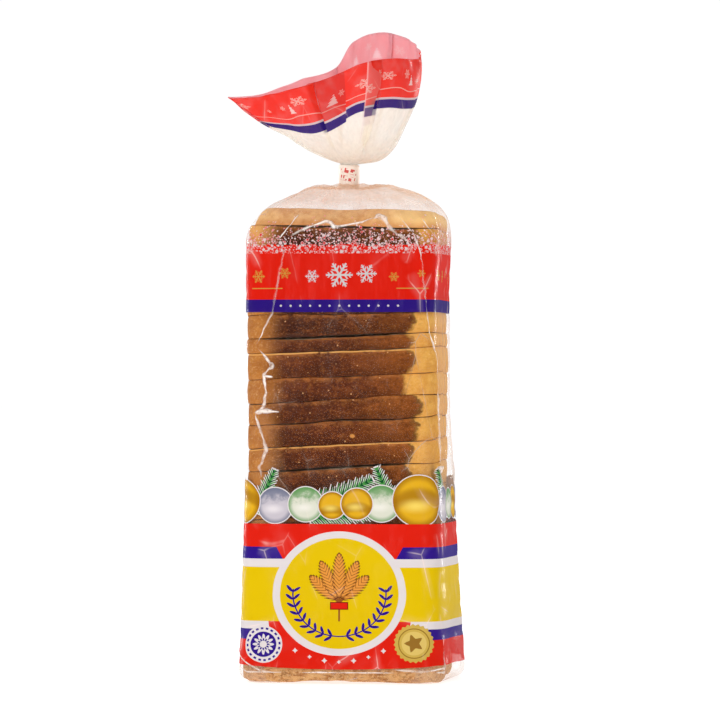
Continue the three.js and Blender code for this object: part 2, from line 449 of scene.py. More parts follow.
def along(points, spacing):
    points = np.array(points, float)
    steps = np.linalg.norm(np.diff(points, axis=0), axis=1)
    place = np.concatenate([[0], np.cumsum(steps)])
    want = np.linspace(0, place[-1], max(int(place[-1] / spacing), 3))
    return np.stack([np.interp(want, place, points[:, axis]) for axis in range(points.shape[1])], -1)


CREASE_LINES = {name: along([on_front(p) for p in points], 0.8) for name, (_, points) in CREASES.items()}


# How near each point of the front film is to a crease, as the height of the ridge there
def ridge(round_at, height):
    total = np.zeros(np.broadcast(round_at, height).shape)
    for line in CREASE_LINES.values():
        for place in line[::2]:
            away = (round_at - place[0]) ** 2 + (height - place[1]) ** 2
            total = np.maximum(total, np.exp(-away / 2.2**2))
    return total * RIDGE_HEIGHT * (np.abs(round_at) < RIDGE_REACH)


def normals_of(grid):
    around = np.roll(grid, -1, axis=1) - np.roll(grid, 1, axis=1)
    out = np.cross(around, np.gradient(grid, axis=0))
    return out / (np.linalg.norm(out, axis=-1, keepdims=True) + 1e-12)


def new_object(name, points, faces):
    mesh = bpy.data.meshes.new(name)
    mesh.from_pydata((np.asarray(points) * MM).tolist(), [], faces)
    mesh.update()
    made = bpy.data.objects.new(name, mesh)
    bpy.context.scene.collection.objects.link(made)
    for polygon in mesh.polygons:
        polygon.use_smooth = True
    return made


def add_values(made, name, values, centres=()):
    layer = made.data.attributes.new(name, "FLOAT", "POINT")
    layer.data.foreach_set("value", np.append(values, centres).astype(np.float32))


def grid_faces(rows, columns):
    faces = []
    for row in range(rows - 1):
        for column in range(columns):
            right = (column + 1) % columns
            low, high = row * columns, (row + 1) * columns
            faces.append((low + column, low + right, high + right, high + column))
    return faces


# The points of a grid of rings, with a centre for the fan that closes each end
def closed_points(grid):
    return np.concatenate([grid.reshape(-1, 3), [grid[0].mean(0)], [grid[-1].mean(0)]])


def closed_faces(rows, columns):
    faces = grid_faces(rows, columns)
    last = (rows - 1) * columns
    low_centre, high_centre = rows * columns, rows * columns + 1
    for column in range(columns):
        right = (column + 1) % columns
        faces.append((low_centre, right, column))
        faces.append((high_centre, last + column, last + right))
    return faces


# How milky the film is on the body, which is least, and on the shoulder and at the base's corners
def outer_haze(outer, shoulder_from):
    height = outer[..., 2]
    haze = 0.002 + 0.008 * field(outer, 20, 21) + np.maximum(SIDEWAYS - 0.7, 0) * 0.01
    haze[shoulder_from:] += 0.46 * smooth(height[shoulder_from:], 222, 245)
    return haze + 0.16 * smooth(-height, -24, -4) * (SIDEWAYS > 0.6)


def tail_haze(sheet, share):
    return 0.46 + 0.25 * np.exp(-share[:, None] / 0.12) + 0.06 * field(sheet, 9, 22)


# Distance round the film and height of the print, as the UV of each corner of a face
def add_print_place(made, level, centre_levels):
    data = made.data
    corner_points = np.zeros(len(data.loops), np.int64)
    starts, counts = (np.zeros(len(data.polygons), np.int64) for _ in range(2))
    data.loops.foreach_get("vertex_index", corner_points)
    data.polygons.foreach_get("loop_start", starts)
    data.polygons.foreach_get("loop_total", counts)
    u = np.append(np.tile(ROUND, len(level)), [0, 0])[corner_points]
    v = np.append(level.ravel(), centre_levels)[corner_points]
    face_of = np.repeat(np.arange(len(starts)), counts)
    widest = np.full(len(starts), -1e9)
    narrowest = np.full(len(starts), 1e9)
    np.maximum.at(widest, face_of, u)
    np.minimum.at(narrowest, face_of, u)
    over_the_seam = (widest - narrowest)[face_of] > GIRTH / 2
    u = np.where(over_the_seam & (u < 0), u + GIRTH, u)
    place = np.stack([u, v], -1).astype(np.float32).ravel() * 0.01
    data.uv_layers.new(name="print").data.foreach_set("uv", place)


# The rings of the film from the base to the collar, raised along the creases
def outer_rings():
    base, body, shoulder = base_rows(), body_rows(), shoulder_rows()
    outer = np.concatenate([base, body, shoulder])
    lift = ridge(ROUND[None, :], outer[..., 2])
    lift[: len(base)] = 0
    return outer + normals_of(outer) * lift[..., None], len(base), len(base) + len(body)


def set_film_parts(made, grid, outer_count):
    above = grid[:-1, :, 2].mean(1)
    in_tail = np.arange(len(grid) - 1) >= outer_count - 1
    starts = (SHOULDER_CLEAR_FROM, UPPER_PRINT_FROM, WINDOW_FROM, ORNAMENTS_FROM)
    zones = [in_tail] + [above > start for start in starts]
    part = np.select(zones, [TAIL_PRINT, CLEAR, UPPER_PRINT, CLEAR, ORNAMENT_PRINT], LOWER_PRINT)
    of_faces = np.repeat(part, COLUMNS).tolist() + [LOWER_PRINT, TAIL_PRINT] * COLUMNS
    made.data.polygons.foreach_set("material_index", of_faces)


# The film in one closed skin: base, body, shoulder, neck, tail, and back down inside the tail
def make_film():
    outer, base_count, shoulder_from = outer_rings()
    tail_share = np.linspace(0, 1, TAIL_ROWS + 1)[1:] ** 1.5
    inner_share = np.linspace(1, 0.02, INNER_ROWS)
    neck, tail = neck_rows(), tail_sheet(tail_share, 0.0)
    inner = tail_sheet(inner_share, FILM_THICKNESS)
    grid = np.concatenate([outer, neck, tail, inner])
    made = new_object("bag_film", closed_points(grid), closed_faces(len(grid), COLUMNS))

    haze = [outer_haze(outer, shoulder_from), np.full(neck.shape[:2], 0.8)]
    haze += [tail_haze(tail, tail_share), tail_haze(inner, inner_share) - 0.12]
    add_values(made, "haze", np.clip(np.concatenate(haze), 0.001, 0.95), [0.2, 0.8])
    inside = np.zeros(grid.shape[:2])
    inside[-len(inner) :] = 1
    add_values(made, "inside", inside, [0, 1])
    loose = np.zeros(grid.shape[:2])
    loose[: len(outer)] = SIDEWAYS**6 * smooth(-outer[..., 2], -60, -20)
    add_values(made, "loose", loose, [0, 0])
    level = [outer[..., 2], neck[..., 2], tail_level(tail), tail_level(inner[::-1])[::-1]]
    add_print_place(made, np.concatenate(level), [0, 900])
    set_film_parts(made, grid, len(outer))
    return made, outer, base_count


# A socket of a material's nodes that takes plain signs
class Num:
    def __init__(self, sheet, socket):
        self.sheet, self.socket = sheet, socket

    def __rsub__(self, other):
        return self.sheet.number("Math", other, self, operation="SUBTRACT")

    def between(self, low, high):
        return (self > low) * (self < high)

    def wrap(self, low, high):
        return self.sheet.number("Math", self, high, low, operation="WRAP")

    def ramp(self, low, high, start=0.0, end=1.0):
        return self.sheet.number("MapRange", self, low, high, start, end, interpolation_type="SMOOTHSTEP")


def sign(operation):
    def combined(number, *others):
        return number.sheet.number("Math", number, *others, operation=operation)

    return combined


SIGNS = {
    "__add__": "ADD", "__radd__": "ADD", "__sub__": "SUBTRACT", "__mul__": "MULTIPLY",
    "__rmul__": "MULTIPLY", "__truediv__": "DIVIDE", "__lt__": "LESS_THAN", "__gt__": "GREATER_THAN",
    "abs": "ABSOLUTE", "floor": "FLOOR", "sin": "SINE", "cos": "COSINE", "power": "POWER",
    "max": "MAXIMUM", "min": "MINIMUM", "angle_to": "ARCTAN2", "fold": "PINGPONG",
}
for sign_name, operation_name in SIGNS.items():
    setattr(Num, sign_name, sign(operation_name))


# A colour as Blender's nodes take it
def linear(colour):
    parts = (value / 255 for value in colour)
    return tuple(part / 12.92 if part <= 0.04045 else ((part + 0.055) / 1.055) ** 2.4 for part in parts)


# A material and the nodes it is made of
class Sheet:
    def __init__(self, name):
        self.material = bpy.data.materials.new(name)
        self.material.use_nodes = True
        self.tree = self.material.node_tree
        self.tree.nodes.clear()

    def put(self, slot, value):
        if isinstance(value, Num):
            value = value.socket
        if isinstance(value, bpy.types.NodeSocket):
            self.tree.links.new(value, slot)
        elif slot.type == "RGBA":
            slot.default_value = (*linear(value), 1.0)
        else:
            slot.default_value = value

    # A node with its first sockets in order, other sockets by name, and settings in small letters
    def node(self, kind, *values, **named):
        made = self.tree.nodes.new("ShaderNode" + kind)
        for name, value in named.items():
            if name[0].islower():
                setattr(made, name, value)
            else:
                self.put(made.inputs[name.replace("_", " ")], value)
        for slot, value in zip(made.inputs, values):
            self.put(slot, value)
        return made

    def number(self, kind, *values, **named):
        return Num(self, self.node(kind, *values, **named).outputs[0])

    def value(self, name):
        return Num(self, self.node("Attribute", attribute_name=name).outputs["Fac"])

    def apart(self, vector):
        return [Num(self, socket) for socket in self.node("SeparateXYZ", vector).outputs]

    def together(self, x, y):
        return self.node("CombineXYZ", x, y).outputs[0]

    def print_place(self):
        u, v, _ = self.apart(self.node("UVMap", uv_map="print").outputs[0])
        return u * 100, v * 100

    def position(self):
        place = self.node("NewGeometry").outputs["Position"]
        place = self.node("VectorMath", place, operation="SCALE", Scale=1 / MM).outputs[0]
        return place, self.apart(place)

    def mix(self, share, low, high):
        made = self.node("Mix", share, data_type="RGBA")
        self.put(made.inputs[6], low)
        self.put(made.inputs[7], high)
        return made.outputs[2]

    # Colours laid one over another, each with its own share
    def layers(self, colour, *steps):
        for share, over in steps:
            colour = self.mix(share, colour, over)
        return colour

    def stretched(self, place, stretch):
        return self.node("VectorMath", place, stretch, operation="MULTIPLY").outputs[0]

    def noise(self, place, size, detail=2.0, rough=0.5, stretch=None):
        if stretch:
            place = self.stretched(place, stretch)
        return self.number("TexNoise", place, Scale=1 / size, Detail=detail, Roughness=rough)

    # Scattered cells: distance from the nearest centre, and three random numbers for each cell
    def cells(self, place, size):
        made = self.node("TexVoronoi", place, Scale=1 / size)
        apart = self.node("SeparateColor", made.outputs["Color"])
        away = Num(self, made.outputs["Distance"]) * size
        return away, [Num(self, socket) for socket in apart.outputs[:3]]

    # Distance from the nearest of many straight crinkles
    def crinkles(self, place, size, stretch):
        place = self.stretched(place, stretch)
        return self.number("TexVoronoi", place, feature="DISTANCE_TO_EDGE", Scale=1 / size) * size

    def bump(self, height, distance, strength=1.0, normal=None):
        made = self.node("Bump", Strength=strength, Distance=distance * MM, Height=height)
        if normal is not None:
            self.put(made.inputs["Normal"], normal)
        return made.outputs[0]

    def matte(self, colour, normal=None, **named):
        body = self.node("BsdfPrincipled", Base_Color=colour, **named)
        if normal is not None:
            self.put(body.inputs["Normal"], normal)
        return body.outputs[0]

    def shader_mix(self, share, low, high):
        return self.node("MixShader", share, low, high).outputs[0]

    def done(self, shader):
        self.node("OutputMaterial", Surface=shader)
        return self.material


# Inks laid one over another: a colour, and how much of the film they cover
class Print:
    def __init__(self, sheet):
        self.sheet, self.colour, self.cover = sheet, WHITE, None

    def lay(self, mask, colour):
        self.colour = self.sheet.mix(mask, self.colour, colour)
        self.cover = mask if self.cover is None else self.cover.max(mask)


def away_from(x, y):
    return (x * x + y * y).power(0.5)


def turned(x, y, cx, cy, degrees):
    c, s = math.cos(math.radians(degrees)), math.sin(math.radians(degrees))
    dx, dy = x - cx, y - cy
    return dx * c + dy * s, dy * c - dx * s


# One snowflake round the origin, with six arms and two pairs of twigs on each
def snowflake(x, y, radius):
    away = away_from(x, y) / radius
    turn = y.angle_to(x).abs().fold(PI / 6)
    along_arm, off_arm = away * turn.cos(), away * turn.sin()
    arm = (off_arm < 0.075) * (away < 1)
    first = ((along_arm - off_arm * 0.8 - 0.38).abs() < 0.065) * (off_arm < 0.3)
    second = ((along_arm - off_arm * 0.8 - 0.68).abs() < 0.055) * (off_arm < 0.2)
    return arm.max(first).max(second)


# A flake in each cell along a row, with sizes that differ from cell to cell
def flake_row(u, v, pitch, level, sizes):
    cell = (u / pitch + 0.5).floor()
    near = cell.abs()
    rise = (cell * 2.4).sin() * sizes[3]
    radius = sizes[0] + (near < 0.5) * sizes[1] + (near < 1.5) * sizes[2] + (cell * 1.7).sin() * 0.8
    return snowflake(u - cell * pitch, v - level - rise, radius), near


# A fir twig from the origin along +x: a tapering comb of needles
def twig(x, y, length, width):
    off = y.abs()
    needle = (x - off * 0.9) / 1.3
    rough = ((needle.floor() * 2.3).sin() * 0.16) + 0.86
    limit = ((1 - x / length) * (width * 0.75) + width * 0.35) * rough
    comb = needle.wrap(0, 1) > (off / limit) * 0.8 - 0.12
    return x.between(0, length) * ((off < limit) * comb).max(off < 0.45)


# An ear of wheat from the origin along +x
def wheat_ear(x, y, length, width):
    part = x / length
    body = (part * (1 - part)).max(0).power(0.6) * (width * 2.2)
    grain = ((x - y.abs() * 1.1) / 1.9).wrap(0, 1)
    return x.between(0, length) * (y.abs() < body * (grain * 0.45 + 0.62)), grain < 0.2


# Streaks that run up the film where it is gathered, in its relief and in its veil
def gather_film(sheet, u, v, amount, normal, veil):
    gather = sheet.noise(sheet.together(u * 0.11, v * 0.03), 1, 3.5, 0.55)
    zone = v.ramp(224, 243) * amount
    normal = sheet.bump(gather, 1.5, 0.6, normal)
    return normal, veil * (1 - zone + zone * gather.ramp(0.3, 0.72, 0.62, 1.35))


# Painted sheens, a pale rim of painted sheen on the right, and fine crinkles drawn as painted glints
def film_marks(sheet, place, grazing, x, z, v):
    # Soft patches of painted sheen
    painted_sheen = sheet.noise(place, 30, 2, 0.5, (1.0, 1.0, 0.6)).ramp(0.5, 0.72) * 0.07
    # A pale rim of painted sheen where the film turns away on the right
    rim = grazing.power(2.5) * x.ramp(43, 49) * v.between(90, 236) * 0.5
    crease = sheet.crinkles(place, 19, (1.0, 1.0, 0.55))
    patch = sheet.noise(place, 13, 1.5, 0.5)
    aside = (x.abs().ramp(24, 42) * x.abs().ramp(62, 46) * 0.7 + 0.25).max(z.ramp(24, 8))
    # Fine crinkles, drawn as painted glints
    crinkle_glint = (crease.ramp(0.28, 0.0) * 0.55 + crease.ramp(2.2, 0.0) * 0.12) * patch.ramp(0.48, 0.68)
    return (painted_sheen * v.between(60, 230)).max(rim), crinkle_glint * aside


# The film's colour under its inks, which are pale from inside, partly their own pale back and partly painted
# light, and thinner where it hangs loose
def film_inks(sheet, inks, tint, wave, crinkle_glint, ink_cover):
    inside = sheet.value("inside")
    # From inside: painted light from behind the film, with painted highlights where its waves are
    pale_back_and_backlight = sheet.mix(wave.ramp(0.35, 0.65, 0.76, 0.87), inks.colour, (255, 222, 232))
    strength = ink_cover + inside * 0.04 - sheet.value("loose") * 0.16
    colour = sheet.mix(inks.cover, tint, sheet.mix(inside, inks.colour, pale_back_and_backlight))
    # Painted glints of the crinkles lie over the inks
    return sheet.mix(crinkle_glint, colour, (255, 232, 224)), inks.cover * strength


# Clear film, milky by its haze, with inks on it: waves, crinkles with painted glints, painted sheens, and a
# gloss that is weak head on
def film_shader(sheet, inks, tint, gathered=0.0, ink_cover=0.97, glow=0.0):
    place, (x, _, z) = sheet.position()
    u, v = sheet.print_place()
    wave = sheet.noise(place, 10, 2.5, 0.55, (1.0, 1.0, 0.5))
    normal = sheet.bump(wave, 1.3, 0.5)
    normal = sheet.bump(sheet.noise(place, 2.6, 2.0, 0.6), 0.2, 0.28, normal)
    streak = sheet.noise(place, 7, 3, 0.6, (1.0, 1.0, 0.3))
    veil = sheet.value("haze") * (streak * 1.3 + 0.35)
    grazing = Num(sheet, sheet.node("LayerWeight", Blend=0.35).outputs["Facing"])
    if gathered:
        normal, veil = gather_film(sheet, u, v, gathered, normal, veil)
    veil = (veil + grazing.power(6.0) * 0.09).min(0.96)
    painted_sheen_and_rim, crinkle_glint = film_marks(sheet, place, grazing, x, z, v)
    colour, cover = tint, veil.max(painted_sheen_and_rim).max(crinkle_glint * 0.8)
    if inks:
        colour, ink_share = film_inks(sheet, inks, tint, wave, crinkle_glint, ink_cover)
        cover = cover.max(ink_share)
    lit = sheet.matte(colour, normal, Roughness=0.6, Specular_IOR_Level=0.0)
    if glow:
        lit = sheet.shader_mix(glow, lit, sheet.node("BsdfTranslucent", colour).outputs[0])
    base = sheet.shader_mix(cover, sheet.node("BsdfTransparent").outputs[0], lit)
    shine = sheet.node("BsdfGlossy", Color=(255, 255, 255), Roughness=0.2, Normal=normal)
    share = sheet.number("Fresnel", IOR=1.12, Normal=normal).min(0.035)
    return sheet.shader_mix(share, base, shine.outputs[0])


# The print is the same on the front and on the back
def pack_place(sheet):
    u, v = sheet.print_place()
    return u.wrap(-GIRTH / 4, GIRTH / 4), v


def lower_panel():
    sheet = Sheet("film_lower_print")
    u, v = pack_place(sheet)
    inks = Print(sheet)
    lay_panel(inks, u, v)
    lay_wheat(sheet, inks, u, v)
    lay_left_seal(inks, u + 36.5, v - 19.6)
    lay_right_seal(inks, u - 35.5, v - 20.4)
    return sheet.done(film_shader(sheet, inks, PANEL_FILM))


# Fields of colour across the panel, the big ring on it, and a curved row of small stars
def lay_panel(inks, u, v):
    out = u.abs()
    lower_edge = out.min(46) * out.min(46) * 0.0009 + 7.5
    inks.lay((v > lower_edge) * (v < PANEL_TOP), RED)
    slant = out + (v - 64.4) * -0.55
    inks.lay(v.between(61.5, 67.3) * (slant > 29), BLUE)
    for low, high, ink in PANEL_STRIPES:
        inks.lay(v.between(low, high), ink)
    ring = away_from(u / 32, (v - 44.6) / 30.4)
    inks.lay((v > lower_edge) * (v < 31.0) * (out < 34 - (31 - v) * 0.12) * (ring > 1.0), RED)
    inks.lay(ring < 1.0, WHITE)
    inks.lay(ring < 0.89, YELLOW)
    for place in (-21, -14, -7, 0, 7, 14, 21):
        x, y = u - place, v - (11.2 + place * place * 0.0125)
        size = 1.5 if place % 2 else 1.15
        inks.lay((x.abs().power(0.7) + y.abs().power(0.7)) < size**0.7, WHITE)


# A tied sheaf of wheat inside two curved sprays of leaves
def lay_wheat(sheet, inks, u, v):
    near = u.abs()
    stalks = ((near, 43, 16), (near, 66, 19), (u, 90, 21))
    ears = [(*turned(across, v, 0, 40, tilt), reach) for across, tilt, reach in stalks]
    for x, y, _ in ears:
        inks.lay(x.between(-9, 5) * (y.abs() < 0.45), BROWN)
    for x, y, reach in ears:
        inks.lay(wheat_ear(x - 2.3, y * 0.8, reach + 1.4, 3.1)[0], (112, 54, 18))
        shape, grain = wheat_ear(x - 3, y, reach, 3.1)
        inks.lay(shape, sheet.mix(grain, (228, 150, 62), (150, 78, 24)))
    inks.lay((near < 4.4) * ((v - 38.6).abs() < 1.9), (130, 20, 12))
    inks.lay((near < 3.9) * ((v - 38.6).abs() < 1.4), RED)
    tall = (v - 44.6) * 1.07
    away = away_from(u, tall) - 22.4
    turn = near.angle_to(-1 * tall) * (180 / PI)
    step = (turn - 7) / 10.4
    leaf_x = (step - step.floor()) * 4.1 - away.abs() * 0.75 + 0.6
    leaf_y = away.abs() / 3.4
    leaf = (leaf_y * (1 - leaf_y)).max(0).power(0.6) * 4.4
    inks.lay(((leaf_x - 1.6).abs() < leaf * 0.5) * turn.between(7, 100.6), BLUE)
    inks.lay((away.abs() < 0.34) * (turn < 96), BLUE)


# A round seal without words: a blue rosette in a dashed ring
def lay_left_seal(inks, dx, dy):
    away, turn = away_from(dx, dy), dy.angle_to(dx)
    petals = (turn * 6).cos().abs() * 2.6 + 2.5
    inks.lay(away < 9.1, WHITE)
    inks.lay(away.between(7.3, 8.3) * ((turn * 20).sin() > -0.1), BLUE)
    for limit, ink in ((6.2, BLUE), (petals, WHITE), (petals * 0.6, BLUE), (1.7, WHITE)):
        inks.lay(away < limit, ink)


# A round seal without words: a golden star with a scalloped edge
def lay_right_seal(inks, dx, dy):
    away, turn = away_from(dx, dy), dy.angle_to(dx)
    inks.lay(away < (turn * 24).sin() * 0.35 + 9.2, (206, 172, 78))
    inks.lay(away.between(6.9, 7.4), (150, 112, 40))
    inks.lay(away < 5.8, (222, 192, 104))
    inks.lay(away < (turn * 2.5).cos().abs() * -2.1 + 4.6, (150, 108, 40))


# The clear film with the row of ornaments, just above the panel
def ornament_row():
    sheet = Sheet("film_ornament_print")
    u, v = pack_place(sheet)
    inks = Print(sheet)
    lay_ornaments(sheet, inks, u, v)
    inks.lay(v < PANEL_TOP, RED)
    return sheet.done(film_shader(sheet, inks, PANEL_FILM))


# Ornaments and fir twigs, with a thin white edge
def lay_ornaments(sheet, inks, u, v):
    above = v > PANEL_TOP - 0.4
    for cx, cy, angle, length, width in TWIGS:
        x, y = turned(u, v, cx, cy, angle)
        inks.lay(twig(x + 0.6, y * 0.88, length + 1.3, width) * above, WHITE)
        stripes = (x * 2.4 - y.abs() * 2.2).sin().ramp(-1, 1)
        inks.lay(twig(x, y, length, width) * above, sheet.mix(stripes, (70, 146, 66), (14, 78, 36)))
    cloudy = sheet.noise(sheet.together(u, v), 3.2, 3.0, 0.6)
    for cx, cy, radius, kind in ORNAMENTS:
        dx, dy = u - cx, v - cy
        away = away_from(dx, dy)
        inks.lay((away < radius + 0.5) * above, WHITE)
        main, rim, light = ORNAMENT_TONES[kind]
        if kind == "gold":
            bend = dy / radius + (dx / radius) * (dx / radius) * 0.35
            marks = (bend * 4.2 + cx).sin().ramp(-0.2, 1.0) * 0.7
        else:
            marks = (dy / radius + cloudy * 1.6 - 0.9).ramp(-0.1, 0.7) * 0.8
        lx, ly = dx + radius * 0.12, dy + radius * 0.2
        spot = (lx * lx * 0.7 + ly * ly * 3.4).power(0.5) / radius
        edge = (away / radius).ramp(0.7, 1.0) * 0.75
        gleam = (1 - spot.ramp(0, 0.7)) * 0.75
        colour = sheet.layers(main, (marks, rim), (edge, rim), (gleam, light))
        inks.lay((away < radius) * above, colour)


def clear_film():
    sheet = Sheet("film_clear")
    return sheet.done(film_shader(sheet, None, (255, 230, 209), 0.6, glow=0.5))


# A red band with flakes over a blue stripe, and snow that thins out above it
def upper_band():
    sheet = Sheet("film_upper_print")
    u, v = pack_place(sheet)
    inks = Print(sheet)
    place = sheet.together(u, v)
    clump = sheet.noise(place, 7, 1.0)
    keep = v.ramp(214.5, 227.0, 1.3, 0.0) + (clump - 0.5) * 0.5 * v.ramp(214, 219)
    ragged = v - sheet.noise(place, 2.0, 2.0) * 5
    inks.lay(v.between(BAND_STRIPE_TOP, 240) * (ragged < BAND_TOP), BAND_RED)
    for size, dot, hole in ((0.9, 0.4, 0.0), (1.25, 0.58, 0.45), (2.1, 0.95, 0.62)):
        away, (one, two, three) = sheet.cells(place, size)
        here = (one < keep * (1.2 - size * 0.3)) * v.between(SNOW_BOTTOM, SNOW_TOP)
        radius = two * 0.45 * dot + 0.55 * dot
        inks.lay(here * (away < radius), sheet.mix(three > 0.55, (240, 216, 216), (240, 160, 160)))
        if hole:
            inks.lay(here * (away < radius * hole) * (three > 0.25), (222, 44, 36))
    flakes, near = flake_row(u, v, 13.4, FLAKES_LEVEL, (2.7, 2.4, 1.5, 0.9))
    inks.lay(flakes * v.between(189, SNOW_BOTTOM), sheet.mix(near > 1.5, WHITE, GOLD))
    inks.lay(v.between(193.6, 194.1) * u.abs().between(28, 44), GOLD)
    inks.lay(v.between(BAND_BOTTOM, BAND_STRIPE_TOP), BLUE)
    dots = away_from(u.wrap(-2.4, 2.4), v - (BAND_BOTTOM + BAND_STRIPE_TOP) / 2)
    inks.lay((dots < 0.55) * (u.abs() < 32), WHITE)
    return sheet.done(film_shader(sheet, inks, (244, 214, 194), 1.0, glow=0.25))


# Flakes and trees on red, over a white and a blue stripe, with two strips where the film is doubled, and
# painted highlights along the edges of the folds
def tail_film():
    sheet = Sheet("film_tail_print")
    place, (_, y, _) = sheet.position()
    u, v = sheet.print_place()
    inks = Print(sheet)
    doubled, darker = u.between(11.5, 20.5), u.between(-17, 3)
    below = MOUTH_LEVEL - v - doubled * 3.4 - darker * 1.5
    on_red = below < TAIL_RED_END
    inks.lay(on_red, TAIL_RED)
    inks.lay(below.between(TAIL_RED_END, TAIL_WHITE_END), WHITE)
    inks.lay(below.between(TAIL_WHITE_END, TAIL_BLUE_END), BLUE)
    pale = (248, 190, 176)
    flakes, _ = flake_row(u * 0.8, below, 9.2, 8.8, (1.9, 0, 0, 2.4))
    inks.lay(flakes * (below < 14.6), pale)
    tree_x, tree_y = (u * 0.8 + 4.6).wrap(-13.8, 13.8), 13.0 - below
    tiers = (1 - tree_y / 6) * 2.0 + (tree_y / 1.5).wrap(0, 1) * -0.6
    inks.lay((tree_x.abs() < tiers) * tree_y.between(0, 5.6), (250, 222, 214))
    inks.lay((below - 15.4 - (u * 0.22).sin() * 0.8).abs() < 0.22, pale)
    patchy = sheet.noise(place, 9, 2, 0.55).ramp(0.4, 0.68)
    thin = (1 - sheet.value("inside")) * on_red * (patchy * 0.06 + y.ramp(-5, 15, 0.01, 0.07))
    # Painted highlights along the edges where the film folds back
    edge = ((u - 11.5).abs() < 0.2).max((u + 17).abs() < 0.18)
    inks.colour = sheet.layers(
        inks.colour,
        (doubled * 0.2, (250, 220, 216)),
        (darker * on_red * 0.32, (180, 6, 8)),
        (edge * 0.5, (255, 236, 230)),
    )
    inks.cover = (inks.cover * (1 - thin)).max(edge * 0.5 * (below < 40)).max(doubled * 0.5 * (below < 30))
    return sheet.done(film_shader(sheet, inks, (254, 250, 240), 0.2, 0.92, glow=0.5))


# A value of a grid of rings between its rows and columns
def blend(grid, row, column):
    r0, c0 = min(int(row), len(grid) - 2), int(column)
    c1 = (c0 + 1) % COLUMNS
    up, right = row - r0, column - c0
    low = grid[r0, c0] * (1 - right) + grid[r0, c1] * right
    high = grid[r0 + 1, c0] * (1 - right) + grid[r0 + 1, c1] * right
    return low * (1 - up) + high * up


# The film under a crease: its points, and which way it faces
def under_crease(rows, out, line):
    found = []
    for round_at, height in line:
        column = np.interp(round_at, ROUND, np.arange(COLUMNS))
        c0, part = int(column), column - int(column)
        heights = rows[:, c0, 2] * (1 - part) + rows[:, (c0 + 1) % COLUMNS, 2] * part
        top = np.argmax(heights)
        row = np.interp(height, heights[: top + 1], np.arange(top + 1))
        found.append((blend(rows, row, column), blend(out, row, column)))
    return np.array(found).swapaxes(0, 1)


# How far a line turns at each of its points, from 0 where it is straight
def turning_of(line):
    heading = np.gradient(line, axis=0)
    heading /= np.linalg.norm(heading, axis=1, keepdims=True)
    turning = 1 - (np.roll(heading, 3, axis=0) * np.roll(heading, -3, axis=0)).sum(1)
    turning[:4], turning[-4:] = 0, 0
    return turning


# One pinched fold as a raised strip: its points, section by section, and how solid each is
def fold_strip(line, widest, rows, out):
    line = along(line, 0.5)
    line[:, 0] += 0.5 * field(np.column_stack([line, np.zeros(len(line))]), 2.6, 31)
    found, facing = under_crease(rows, out, line)
    across = np.cross(np.gradient(found, axis=0), facing)
    across /= np.linalg.norm(across, axis=1, keepdims=True) + 1e-9
    end = np.linspace(0, 1, len(found))
    taper = np.minimum(1, np.minimum(end, 1 - end) * 7) ** 0.7
    swell = np.clip(0.62 + 0.55 * field(found, 4.5, 32), 0.18, 1.3)
    width = widest * taper * (swell + 0.8 * np.clip(turning_of(line), 0, 0.7))
    on_band = smooth(found[:, 2], 179, 184) * (1 - smooth(found[:, 2], 206, 213))
    # How bright the strip is along its length, as painted highlight, duller on the red band
    gleam = np.clip(0.85 + 0.7 * field(found, 7, 33), 0.3, 1) * (1 - DULLED_ON_BAND * on_band)
    points, shares = [], []
    for index, middle in enumerate(found):
        for side, rise, solid in FOLD_SECTION:
            sideways = across[index] * side * width[index] * 1.05
            points.append(middle + sideways + facing[index] * (0.05 + rise * width[index] * 0.7))
            shares.append(taper[index] * solid * gleam[index])
    return points, shares


# The folds where the film is pinched, along the crease lines
def make_fold_lines(outer, first_row):
    rows = outer[first_row:]
    out = normals_of(rows)
    count = len(FOLD_SECTION)
    points, faces, shares = [], [], []
    for name, line in CREASE_LINES.items():
        strip, strip_shares = fold_strip(line, CREASES[name][0], rows, out)
        for first in range(len(points), len(points) + len(strip) - count, count):
            for a in range(first, first + count - 1):
                faces.append((a, a + 1, a + 1 + count, a + count))
        points += strip
        shares += strip_shares
    made = new_object("bag_film_folds", points, faces)
    # Their cover, kept as haze: creased film turned white and painted highlight
    add_values(made, "haze", shares)
    return made


# The pale strips on the folds: partly creased film turned white, partly painted highlights
def fold_material():
    sheet = Sheet("film_fold_lines")
    place, _ = sheet.position()
    streak = sheet.noise(place, 3.0, 2.0, 0.6)
    body = sheet.matte(sheet.mix(streak, (246, 220, 200), (255, 252, 250)), Roughness=0.2)
    cover = (streak.ramp(0.25, 0.55) * 0.75 + 0.3) * sheet.value("haze")
    return sheet.done(sheet.shader_mix(cover, sheet.node("BsdfTransparent").outputs[0], body))


# Points are moved towards the axis where they would touch the film
def keep_inside(points, outer):
    radius = np.hypot(outer[..., 0], outer[..., 1])
    rising = int(np.argmax(outer[..., 2].mean(1)))
    turn = np.arctan2(points[:, 1], points[:, 0])
    turn = np.where(turn > FRONT - PI, turn, turn + 2 * PI)
    turn = np.where(turn > FRONT + PI, turn - 2 * PI, turn)
    column = np.clip(np.rint(np.interp(turn, ANGLE, np.arange(COLUMNS))), 0, COLUMNS - 1).astype(int)
    away = np.hypot(points[:, 0], points[:, 1])
    for place in np.unique(column):
        here = column == place
        limit = np.interp(points[here, 2], outer[:rising, place, 2], radius[:rising, place])
        scale = np.minimum(1, (limit - SLICE_CLEARANCE) / np.maximum(away[here], 1e-6))
        points[here, :2] *= scale[:, None]
    return points


# The cuts between the slices aren't quite flat; both faces of a cut share its waves
def joint_wobble(flat, joint):
    if joint in (0, len(JOINTS) - 1):
        return np.zeros(len(flat))
    place = np.column_stack([flat, np.full(len(flat), joint * 100.0)])
    return 0.75 * field(place, 24, 60) + 0.3 * field(place, 7, 61)


